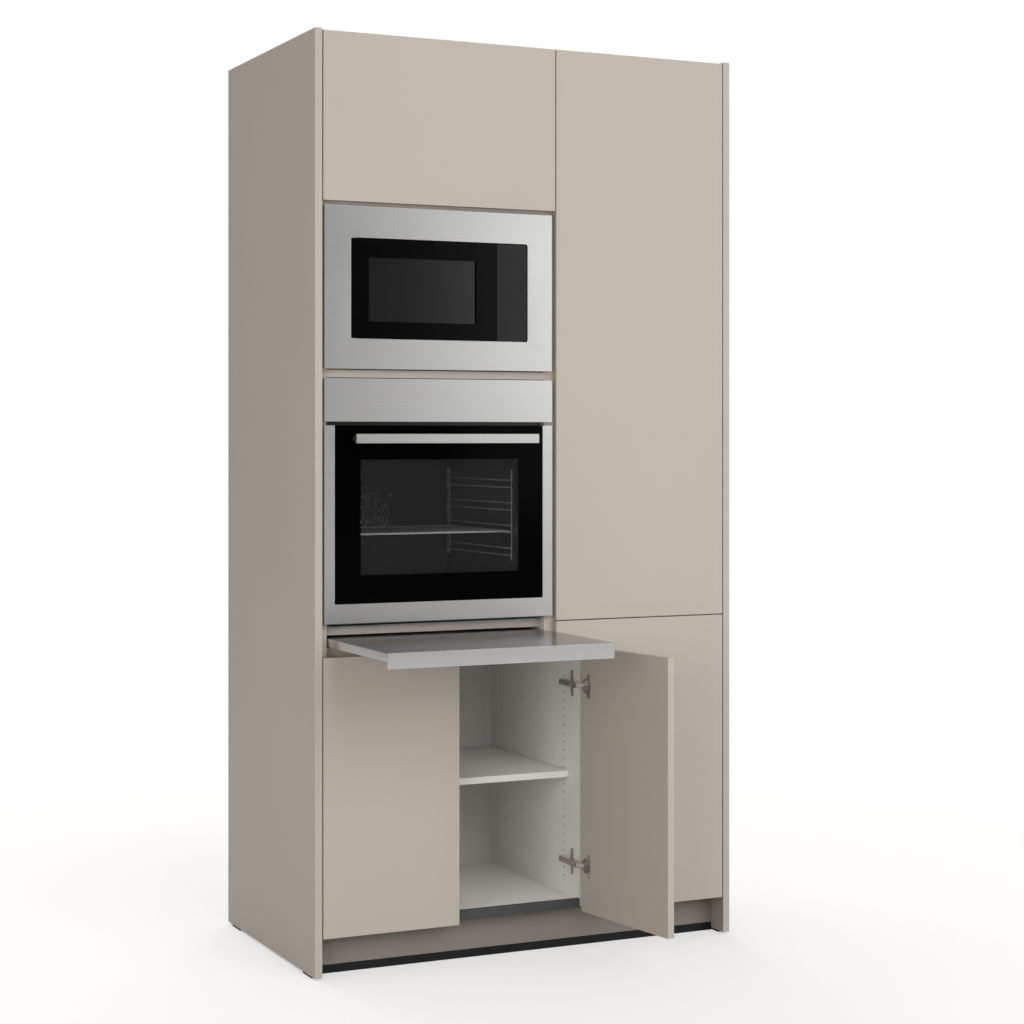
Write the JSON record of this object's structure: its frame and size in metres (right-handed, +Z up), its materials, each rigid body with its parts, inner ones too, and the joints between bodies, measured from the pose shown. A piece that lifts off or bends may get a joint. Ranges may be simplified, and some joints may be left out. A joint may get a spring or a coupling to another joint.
{
  "type": "tall oven housing unit",
  "caption": "Tall kitchen unit with built-in oven and microwave, a pull-out work shelf, a base cupboard and a tall cupboard between full-height end panels.",
  "frame": {"origin": "on the floor under the middle of the footprint, which runs from the door faces to the rear edges of the end panels: the underside of the middle levelling foot", "axes": "+Z up, fronts face -Y, +X to the right when seen from the front"},
  "size_m": [1.122, 1.011, 2.224],
  "materials": {
    "beige_laminate": "beige laminated board, matt",
    "white_board": "white faced particle board",
    "black_plastic": "black moulded plastic",
    "grey_profile": "dark grey edge profile",
    "zinc": "zinc-plated steel",
    "nickel": "nickel-plated steel",
    "brushed_stainless": "brushed stainless steel",
    "black_gloss": "black gloss moulding",
    "black_glass": "black printed glass",
    "clear_glass": "clear glass",
    "white_enamel": "white painted steel",
    "grey_enamel": "dark grey enamel",
    "case_metal": "galvanised sheet steel"
  },
  "bodies": {
    "carcass": {"left_end_panel": "beige_laminate", "right_end_panel": "beige_laminate", "end_panel_glides": "black_plastic", "column_left_side": "white_board", "centre_partition": "white_board", "tall_right_side": "white_board", "base_right_wall": "white_board", "cupboard_floors": "white_board", "base_floor_trim": "grey_profile", "column_boards": "white_board", "top_board": "white_board", "tall_boards": "white_board", "back_panels": "white_board", "fixing_rail": "white_board", "base_shelf": "white_board", "shelf_pins": "zinc", "plinth": "beige_laminate", "plinth_seal": "black_plastic", "levelling_feet": "black_plastic", "hinge_arms": "zinc", "runner_outer": "zinc", "microwave_trim": "brushed_stainless", "microwave_case": "case_metal", "microwave_cavity": "white_enamel", "microwave_panel": "black_gloss", "oven_case": "case_metal", "oven_cavity": "grey_enamel", "oven_grill": "nickel", "oven_fascia": "brushed_stainless", "oven_door_hinges": "zinc", "oven_ladders": "nickel", "oven_rack": "nickel", "oven_fan_cover": "grey_enamel"},
    "top_door": {"top_door": "beige_laminate", "top_door_cups": "nickel"},
    "tall_door": {"tall_door": "beige_laminate", "tall_door_cups": "nickel"},
    "lower_right_door": {"lower_right_door": "beige_laminate", "lower_right_door_cups": "nickel"},
    "base_left_door": {"base_left_door": "beige_laminate", "base_left_door_cups": "nickel"},
    "base_right_door": {"base_right_door": "beige_laminate", "base_right_door_cups": "nickel"},
    "top_links": {"top_door_links": "nickel"},
    "tall_links": {"tall_door_links": "nickel"},
    "lower_right_links": {"lower_right_door_links": "nickel"},
    "base_left_links": {"base_left_door_links": "nickel"},
    "base_right_links": {"base_right_door_links": "nickel"},
    "pullout": {"pullout_skin": "brushed_stainless", "pullout_core": "white_board", "runner_inner": "zinc"},
    "runner_middle": {"runner_middle": "zinc"},
    "microwave_door": {"microwave_door": "black_gloss", "microwave_window": "black_glass"},
    "turntable": {"turntable": "clear_glass"},
    "oven_door": {"oven_door_frame": "brushed_stainless", "oven_door_glass": "black_glass", "oven_inner_glass": "clear_glass", "oven_handle": "brushed_stainless"},
    "oven_fan": {"oven_fan": "nickel"}
  },
  "joints": [
    {"name": "top_door_hinge", "type": "hinge", "parent": "carcass", "child": "top_door", "pos_m": [-0.534, -0.324, 2.0215], "axis": [0, 0, -1], "range_deg": [0, 105]},
    {"name": "top_links_pin", "type": "hinge", "parent": "carcass", "child": "top_links", "pos_m": [-0.508, -0.316, 2.0215], "axis": [0, 0, 1], "range_deg": [0, 58.25]},
    {"name": "tall_door_hinge", "type": "hinge", "parent": "carcass", "child": "tall_door", "pos_m": [0.534, -0.324, 1.5195], "axis": [0, 0, 1], "range_deg": [0, 105]},
    {"name": "tall_links_pin", "type": "hinge", "parent": "carcass", "child": "tall_links", "pos_m": [0.508, -0.316, 1.5195], "axis": [0, 0, -1], "range_deg": [0, 58.25]},
    {"name": "lower_right_door_hinge", "type": "hinge", "parent": "carcass", "child": "lower_right_door", "pos_m": [0.534, -0.324, 0.45575], "axis": [0, 0, 1], "range_deg": [0, 95]},
    {"name": "lower_right_links_pin", "type": "hinge", "parent": "carcass", "child": "lower_right_links", "pos_m": [0.508, -0.316, 0.45575], "axis": [0, 0, -1], "range_deg": [0, 52.75]},
    {"name": "base_left_door_hinge", "type": "hinge", "parent": "carcass", "child": "base_left_door", "pos_m": [-0.534, -0.324, 0.42375], "axis": [0, 0, -1], "range_deg": [0, 105]},
    {"name": "base_left_links_pin", "type": "hinge", "parent": "carcass", "child": "base_left_links", "pos_m": [-0.508, -0.316, 0.42375], "axis": [0, 0, 1], "range_deg": [0, 58.25]},
    {"name": "base_right_door_hinge", "type": "hinge", "parent": "carcass", "child": "base_right_door", "pos_m": [0.155, -0.324, 0.42375], "axis": [0, 0, 1], "range_deg": [-98, 7]},
    {"name": "base_right_links_pin", "type": "hinge", "parent": "carcass", "child": "base_right_links", "pos_m": [0.129, -0.316, 0.42375], "axis": [0, 0, -1], "range_deg": [-54.4, 4.35]},
    {"name": "pullout_slide", "type": "slide", "parent": "carcass", "child": "pullout", "axis": [0, 1, 0], "range_m": [0, 0.355]},
    {"name": "runner_middle_slide", "type": "slide", "parent": "carcass", "child": "runner_middle", "axis": [0, 1, 0], "range_m": [0, 0.178]},
    {"name": "microwave_door_hinge", "type": "hinge", "parent": "carcass", "child": "microwave_door", "pos_m": [-0.463, -0.324, 1.619], "axis": [0, 0, -1], "range_deg": [0, 100]},
    {"name": "turntable_spin", "type": "hinge", "parent": "carcass", "child": "turntable", "pos_m": [-0.28, -0.139, 1.54], "axis": [0, 0, 1], "continuous": true},
    {"name": "oven_door_hinge", "type": "hinge", "parent": "carcass", "child": "oven_door", "pos_m": [-0.241, -0.322, 0.8365], "axis": [1, 0, 0], "range_deg": [0, 90]},
    {"name": "oven_fan_spin", "type": "hinge", "parent": "carcass", "child": "oven_fan", "pos_m": [-0.241, 0.137, 1.068], "axis": [0, 1, 0], "continuous": true}
  ],
  "couplings": [
    {"joint": "top_links_pin", "follows": "top_door_hinge", "ratio": 0.55},
    {"joint": "tall_links_pin", "follows": "tall_door_hinge", "ratio": 0.55},
    {"joint": "lower_right_links_pin", "follows": "lower_right_door_hinge", "ratio": 0.55},
    {"joint": "base_left_links_pin", "follows": "base_left_door_hinge", "ratio": 0.55},
    {"joint": "base_right_links_pin", "follows": "base_right_door_hinge", "ratio": 0.55},
    {"joint": "runner_middle_slide", "follows": "pullout_slide", "ratio": 0.5}
  ]
}
